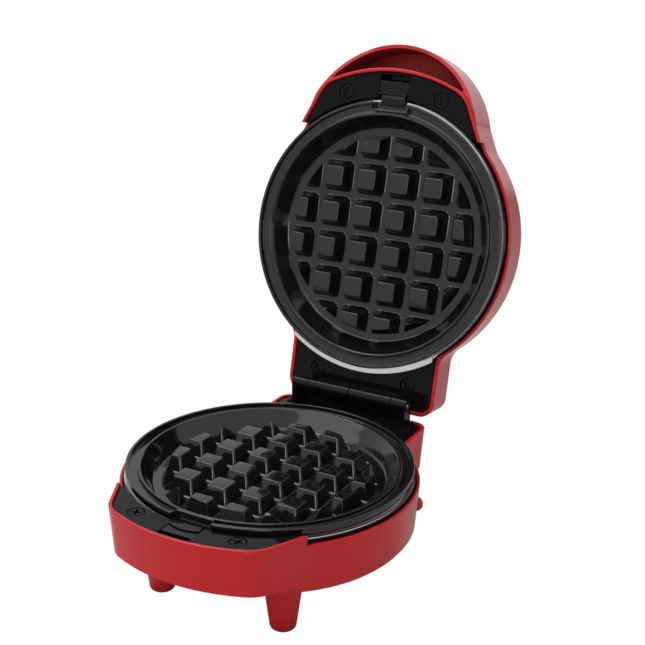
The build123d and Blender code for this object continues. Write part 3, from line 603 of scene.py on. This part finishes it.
def peg_pattern_mesh():
    """One full peg standing on Z = 0, in millimetres, as stacked rounded squares."""
    shape = bmesh.new()
    rings = []
    for half, corner, height in peg_levels():
        ring = []
        for quarter in range(4):
            turn = Matrix.Rotation(math.pi / 2 * quarter, 2)
            for k in range(peg_corner_steps):
                angle = math.pi / 2 * k / peg_corner_steps
                x = half - corner + corner * math.cos(angle)
                y = half - corner + corner * math.sin(angle)
                ring.append(turn @ Vector((x, y)))
            flat = half - corner
            for x in (flat, flat - peg_side_inset, peg_side_inset - flat):
                ring.append(turn @ Vector((x, half)))
        rings.append([shape.verts.new((point.x, point.y, height)) for point in ring])
    count = len(rings[0])
    for one, two in zip(rings, rings[1:]):
        for k in range(count):
            j = (k + 1) % count
            shape.faces.new((one[k], one[j], two[j], two[k]))
    shape.faces.new(rings[-1])
    shape.faces.new(rings[0][::-1])
    mesh = bpy.data.meshes.new("peg_pattern")
    shape.to_mesh(mesh)
    shape.free()
    return mesh


tree = bpy.data.node_groups.new("peg_field", "GeometryNodeTree")
sized_input(tree, "Peg", "NodeSocketGeometry")
rows_input = sized_input(tree, "Rows", "NodeSocketInt", peg_rows)
pitch_input = sized_input(tree, "Pitch", "NodeSocketFloat", peg_pitch)
reach_input = sized_input(tree, "Last reach", "NodeSocketFloat", peg_last_reach)
foot_input = sized_input(tree, "Foot limit", "NodeSocketFloat", peg_foot_limit)
head_input = sized_input(tree, "Head limit", "NodeSocketFloat", peg_head_limit)
height_input = sized_input(tree, "Height", "NodeSocketFloat", peg_height)
bed_input = sized_input(tree, "Bed", "NodeSocketFloat", peg_bed)
coat_input = sized_input(tree, "Coat", "NodeSocketMaterial")
tree.interface.new_socket(name="Geometry", in_out="OUTPUT", socket_type="NodeSocketGeometry")
given = tree.nodes.new("NodeGroupInput")
result = tree.nodes.new("NodeGroupOutput")


def worked(operation, *terms):
    """Math node of the tree being built, fed with sockets or plain numbers."""
    node = tree.nodes.new("ShaderNodeMath")
    node.operation = operation
    for socket, term in zip(node.inputs, terms):
        if isinstance(term, (int, float)):
            socket.default_value = term
        else:
            tree.links.new(term, socket)
    return node.outputs[0]


def length_of(vector):
    """Distance of a position from the plate's axis."""
    parts = tree.nodes.new("ShaderNodeSeparateXYZ")
    tree.links.new(vector, parts.inputs[0])
    squares = worked("ADD", worked("MULTIPLY", parts.outputs[0], parts.outputs[0]),
                     worked("MULTIPLY", parts.outputs[1], parts.outputs[1]))
    return worked("SQRT", squares), parts


side = worked("MULTIPLY", worked("SUBTRACT", given.outputs["Rows"], 1), given.outputs["Pitch"])
spots = tree.nodes.new("GeometryNodeMeshGrid")
tree.links.new(side, spots.inputs["Size X"])
tree.links.new(side, spots.inputs["Size Y"])
tree.links.new(given.outputs["Rows"], spots.inputs["Vertices X"])
tree.links.new(given.outputs["Rows"], spots.inputs["Vertices Y"])
position = tree.nodes.new("GeometryNodeInputPosition")
distance, parts = length_of(position.outputs[0])
reach = worked("MULTIPLY", given.outputs["Last reach"], given.outputs["Pitch"])
beyond = worked("GREATER_THAN", distance, reach)
kept = tree.nodes.new("GeometryNodeDeleteGeometry")
kept.domain = "POINT"
tree.links.new(spots.outputs["Mesh"], kept.inputs["Geometry"])
tree.links.new(beyond, kept.inputs["Selection"])
copies = tree.nodes.new("GeometryNodeInstanceOnPoints")
tree.links.new(kept.outputs[0], copies.inputs["Points"])
tree.links.new(given.outputs["Peg"], copies.inputs["Instance"])
real = tree.nodes.new("GeometryNodeRealizeInstances")
tree.links.new(copies.outputs[0], real.inputs[0])
narrowing = worked("SUBTRACT", given.outputs["Foot limit"], given.outputs["Head limit"])
fall = worked("DIVIDE", narrowing, given.outputs["Height"])
overrun = worked("MULTIPLY", given.outputs["Bed"], 2)
widening = worked("MULTIPLY", fall, overrun)
limit = tree.nodes.new("GeometryNodeMeshCone")
limit.inputs["Vertices"].default_value = peg_limit_steps
limit.inputs["Side Segments"].default_value = 1
depth = worked("SUBTRACT", given.outputs["Height"], worked("MULTIPLY", overrun, 2))
tree.links.new(depth, limit.inputs["Depth"])
tree.links.new(worked("SUBTRACT", given.outputs["Foot limit"], widening), limit.inputs["Radius Bottom"])
tree.links.new(worked("ADD", given.outputs["Head limit"], widening), limit.inputs["Radius Top"])
sunk = tree.nodes.new("ShaderNodeCombineXYZ")
tree.links.new(overrun, sunk.inputs[2])
lowered = tree.nodes.new("GeometryNodeTransform")
tree.links.new(limit.outputs["Mesh"], lowered.inputs["Geometry"])
tree.links.new(sunk.outputs[0], lowered.inputs["Translation"])
cut = tree.nodes.new("GeometryNodeMeshBoolean")
cut.operation = "INTERSECT"
cut.solver = "EXACT"
tree.links.new(lowered.outputs[0], cut.inputs["Mesh 2"])
tree.links.new(real.outputs[0], cut.inputs["Mesh 2"])
painted = tree.nodes.new("GeometryNodeSetMaterial")
tree.links.new(cut.outputs[0], painted.inputs["Geometry"])
tree.links.new(given.outputs["Coat"], painted.inputs["Material"])
tree.links.new(painted.outputs[0], result.inputs[0])

plate_nonstick, shader = finish(
    "plate_nonstick", (0.006, 0.006, 0.0062), 0.08, 0.0003, unevenness=0.05, relief=0.000002,
)
shader.inputs["IOR"].default_value = 1.5

peg_host = placed("peg_host", peg_pattern_mesh())
pegs_mesh = grown("plate_pegs", peg_host, tree, {
    rows_input: peg_rows, pitch_input: peg_pitch, reach_input: peg_last_reach, foot_input: peg_foot_limit,
    head_input: peg_head_limit, height_input: peg_height, bed_input: peg_bed, coat_input: plate_nonstick,
})
bpy.data.objects.remove(peg_host)
dish_floor_z = rim_top_z + plate_profile[-1][1] * mm
pegs_mesh.transform(Matrix.Translation((0, axis_y, dish_floor_z)) @ Matrix.Scale(mm, 4))
smooth(pegs_mesh, peg_crease)
casting = plate_casting()
casting.from_mesh(pegs_mesh)
plate_mesh = bpy.data.meshes.new("lower_plate_casting")
for face in casting.faces:
    face.smooth = True
casting.to_mesh(plate_mesh)
casting.free()
plate_mesh.materials.clear()
plate_mesh.materials.append(plate_nonstick)
for node, body, mesh in (
    ("lower_plate", "base", plate_mesh), ("upper_plate", "lid", in_lid("upper_plate_casting", plate_mesh)),
):
    plate = placed(node + "_casting", mesh)
    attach(plate, body)
    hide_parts(node)

# Release clips: smooth black sliders in the window of each front deck, with a curved thumb grip and a
# nose over the plate's ledge and rails that run in the cover; each is moulded in one.
latch_black, shader = finish("latch_black", (0.006, 0.006, 0.0062), 0.06, 0.0002)
shader.inputs["IOR"].default_value = 1.29
clip_half = 6.7
clip_front = -67.3
clip_rear = -61.3
clip_top = 47.2
clip_thickness = 2
grip_top = 47.9
grip_bottom = 46.75
grip_curve = 14.0
grip_front = -64.3
grip_rear = -61.55
groove_width = 0.35
groove_break = 0.05
clip_break = 0.15
clip_columns = 16
clip_blocks = [
    ((-8.7, -65.7, 43.1), (8.7, -61.3, 44.7)),
    ((-5.6, -64.3, 43.1), (5.6, -61.3, 46.5)),
    ((-5.6, -61.8, 46.3), (5.6, -56.5, 46.9)),
    ((-2.0, -64.9, 38.5), (2.0, -63.7, 43.5)),
]


def block(shape, low, high):
    """Moulded block between two corners in millimetres, with its edges broken."""
    verts = bmesh.ops.create_cube(shape, size=1.0)["verts"]
    for vert in verts:
        for axis in range(3):
            middle = (low[axis] + high[axis]) / 2
            vert.co[axis] = (middle + vert.co[axis] * (high[axis] - low[axis])) * mm
        vert.co.y += axis_y
    edges = {edge for vert in verts for edge in vert.link_edges}
    broken = clip_break * mm
    bmesh.ops.bevel(shape, geom=list(edges), offset=broken, segments=2, profile=0.5, affect="EDGES")


def clip_mesh():
    """Release clip: flat thumb strip, curved groove and raised grip, rails below, nose and spring lug."""
    shape = bmesh.new()
    columns = []
    for k in range(clip_columns + 1):
        x = clip_half * (2 * k / clip_columns - 1)
        groove = grip_front + grip_curve - math.sqrt(grip_curve ** 2 - x ** 2)
        profile = [
            (clip_front, clip_top - clip_thickness),
            (clip_front, clip_top - clip_break),
            (clip_front + clip_break, clip_top),
            (groove - groove_break, clip_top),
            (groove, clip_top - groove_break),
            (groove, grip_bottom),
            (groove + groove_width, grip_bottom),
            (groove + groove_width, grip_top - clip_break),
            (groove + groove_width + clip_break, grip_top),
            (grip_rear, grip_top),
            (grip_rear + clip_break, grip_top - clip_break),
            (clip_rear, clip_top - clip_thickness),
        ]
        columns.append([shape.verts.new((x * mm, y * mm + axis_y, z * mm)) for y, z in profile])
    for one, two in zip(columns, columns[1:]):
        for k in range(len(one)):
            j = (k + 1) % len(one)
            shape.faces.new((one[k], one[j], two[j], two[k]))
    shape.faces.new(columns[0])
    shape.faces.new(columns[-1])
    for low, high in clip_blocks:
        block(shape, low, high)
    bmesh.ops.recalc_face_normals(shape, faces=shape.faces)
    mesh = bpy.data.meshes.new("base_clip")
    shape.to_mesh(mesh)
    shape.free()
    smooth(mesh, 35)
    mesh.materials.append(latch_black)
    return mesh


base_clip = clip_mesh()
for node, mesh in (("base_latch", base_clip), ("lid_latch", in_lid("lid_clip", base_clip))):
    slider = placed(node + "_slider", mesh)
    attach(slider, node)
    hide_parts(node)

# Window trays: a thin dark tray in the cover's plastic under the front of each deck's window, put there as
# painted shade.
# It closes the view into the shell so the window reads dark, and clears the clip's rails and spring.
shade_tray_shape = bmesh.new()
for low, high in (
    ((-7.7, -70.9, 42.3), (7.7, -68.0, 42.8)),
    ((-7.7, -70.9, 42.3), (7.7, -70.2, 45.2)),
    ((-7.7, -70.9, 42.3), (-7.1, -68.6, 45.2)),
    ((7.1, -70.9, 42.3), (7.7, -68.6, 45.2)),
):
    block(shade_tray_shape, low, high)
window_shade_tray = bpy.data.meshes.new("base_window_pocket")
shade_tray_shape.to_mesh(window_shade_tray)
shade_tray_shape.free()
smooth(window_shade_tray, 35)
window_shade_tray.materials.append(cover_charcoal)
for body, mesh in (("base", window_shade_tray), ("lid", in_lid("lid_window_pocket", window_shade_tray))):
    shade_tray = placed(body + "_window_pocket", mesh)
    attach(shade_tray, body)

# Clip springs: a coil of steel wire in front of each clip's lug, between it and the shell's wall, coloured
# nearly black as painted shade.
# It pushes the clip back over the plate's ledge.
spring_steel, shader = finish("spring_steel", (0.09, 0.088, 0.085), 0.3)
shader.inputs["Metallic"].default_value = 1.0
dress("base_latch_spring", spring_steel)
dress("lid_latch_spring", spring_steel)

# Hinge pins: two short pins of bright steel wire, one at each end of the hinge.
# Each is fixed in an ear of the base and turns in a knuckle of the lid.
pin_steel, shader = finish("pin_steel", (0.58, 0.58, 0.58), 0.2, 0.0001)
shader.inputs["Metallic"].default_value = 1.0
dress("hinge_pin_left", pin_steel)
dress("hinge_pin_right", pin_steel)

# Lid shell: a red moulding in the same plastic and finish as the base's, screwed to the lid's cover.
# Its crescent handle is moulded on, round a blind finger gap.
# The same painted shade darkens the colour in its finger gap and other narrow hollows.
dress("lid_shell", shell_red)

# Indicator: a clear red lens pushed up through the lid's top from inside, with a small neon lamp on it.
lens_red, shader = finish("lens_red", (0.6, 0.03, 0.02), 0.08)
shader.inputs["Transmission Weight"].default_value = 0.8
dress("indicator_lens", lens_red)
lamp_glass, shader = finish("lamp_glass", (0.95, 0.72, 0.55), 0.05)
shader.inputs["Transmission Weight"].default_value = 0.9
dress("indicator_lamp", lamp_glass)
